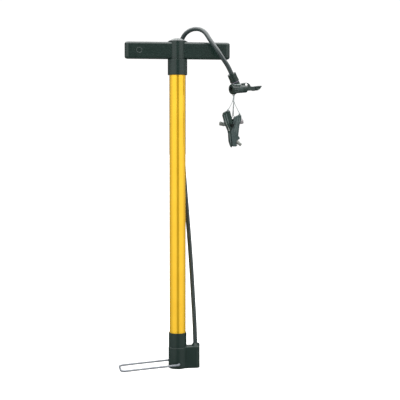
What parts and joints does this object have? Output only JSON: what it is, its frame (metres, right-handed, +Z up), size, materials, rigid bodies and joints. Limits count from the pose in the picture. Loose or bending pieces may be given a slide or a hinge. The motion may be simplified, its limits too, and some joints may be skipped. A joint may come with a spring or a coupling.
{
  "type": "floor bike pump",
  "caption": "Upright floor pump: steel barrel with a plunger rod, T handle, wire foot stirrup, hose with a lever head, and a valve clip, needle and nozzle tied to it.",
  "frame": {"origin": "on the barrel's axis at the underside of the base, on the floor", "axes": "+Z up the barrel, +X along the handle towards the hose's side of the base; the stirrup reaches towards -X and the pump head hangs on the -Y side"},
  "size_m": [0.265, 0.0653, 0.6291],
  "materials": {
    "yellow_enamel": "gloss enamel paint on steel tube",
    "black_plastic": "moulded black plastic with a satin face",
    "gloss_black": "smooth black plastic",
    "clip_plastic": "moulded black plastic",
    "white_nylon": "plain nylon",
    "felt": "oiled felt",
    "black_rubber": "soft rubber",
    "violet_rubber": "soft dark violet rubber",
    "hose_rubber": "extruded rubber hose with a slight sheen",
    "brass": "turned brass",
    "zinc_steel": "zinc-plated steel",
    "chrome_steel": "plated steel",
    "nozzle_metal": "plated metal",
    "string_nylon": "thin twisted nylon string"
  },
  "bodies": {
    "pump_body": {"barrel_tube": "yellow_enamel", "barrel_cap": "black_plastic", "rod_guide_bush": "white_nylon", "rod_wiper": "felt", "base_body": "black_plastic", "barrel_seal": "black_rubber", "valve_seat": "brass", "hose_nipple": "brass", "valve_plug": "zinc_steel", "head_body": "black_plastic", "mouth_cap": "black_plastic", "mouth_grommet": "black_rubber", "plunger_seal": "black_rubber", "lever_pin": "zinc_steel", "head_nipple": "brass", "inlet_washer": "violet_rubber", "hose_ferrule": "black_plastic", "hose": "hose_rubber"},
    "cup": {"cup_seal": "black_rubber"},
    "handle": {"piston_rod": "chrome_steel", "piston_washer": "zinc_steel", "piston_nut": "zinc_steel", "piston_head": "white_nylon", "piston_jam_nut": "zinc_steel", "buffer_ring": "black_rubber", "handle_bar": "black_plastic", "rod_washer": "zinc_steel", "rod_nut": "zinc_steel", "hub_dome": "gloss_black"},
    "ball": {"outlet_ball": "chrome_steel", "outlet_spring": "chrome_steel"},
    "stirrup": {"foot_stirrup": "chrome_steel"},
    "lever": {"thumb_lever": "black_plastic"},
    "plunger": {"plunger": "brass"},
    "adapters": {"clip_arm_left": "clip_plastic", "clip_pin": "zinc_steel", "clip_spring": "chrome_steel", "clip_string": "string_nylon", "needle_string": "string_nylon", "ball_needle": "chrome_steel", "cone_nozzle": "nozzle_metal"},
    "clip_jaw": {"clip_arm_right": "clip_plastic", "clip_seal": "black_rubber", "clip_outlet": "chrome_steel"}
  },
  "joints": [
    {"name": "handle_slide", "type": "slide", "parent": "pump_body", "child": "cup", "axis": [0, 0, 1], "range_m": [0, 0.44], "deforming": ["hose"]},
    {"name": "handle_turn", "type": "hinge", "parent": "cup", "child": "handle", "pos_m": [0, 0, 0.3], "axis": [0, 0, 1], "range_deg": [0, 20]},
    {"name": "outlet_ball_lift", "type": "slide", "parent": "pump_body", "child": "ball", "axis": [0, 0, 1], "range_m": [0, 0.0015], "stiffness_N_per_m": 10, "springref_m": -0.002, "deforming": ["outlet_spring"]},
    {"name": "stirrup_fold", "type": "hinge", "parent": "pump_body", "child": "stirrup", "pos_m": [0, 0, 0.01], "axis": [0, 1, 0], "range_deg": [0, 83]},
    {"name": "lever_flip", "type": "hinge", "parent": "pump_body", "child": "lever", "pos_m": [0.12176, -0.01519, 0.52257], "axis": [0.3697, -0.9291, 0], "range_deg": [0, 90]},
    {"name": "plunger_push", "type": "slide", "parent": "pump_body", "child": "plunger", "axis": [0.9264, 0.3687, 0.0767], "range_m": [0, 0.00181]},
    {"name": "adapter_swing", "type": "hinge", "parent": "pump_body", "child": "adapters", "pos_m": [0.10001, -0.02385, 0.50352], "axis": [0, 1, 0], "range_deg": [-25, 25]},
    {"name": "clip_squeeze", "type": "hinge", "parent": "adapters", "child": "clip_jaw", "pos_m": [0.0959, -0.024, 0.4481], "axis": [0, -1, 0], "range_deg": [0, 10], "stiffness_Nm_per_rad": 0.05, "springref_deg": -17.19, "deforming": ["clip_spring", "clip_string"]}
  ],
  "couplings": [
    {"joint": "plunger_push", "follows": "lever_flip", "m_per_rad": 0.0011459}
  ]
}
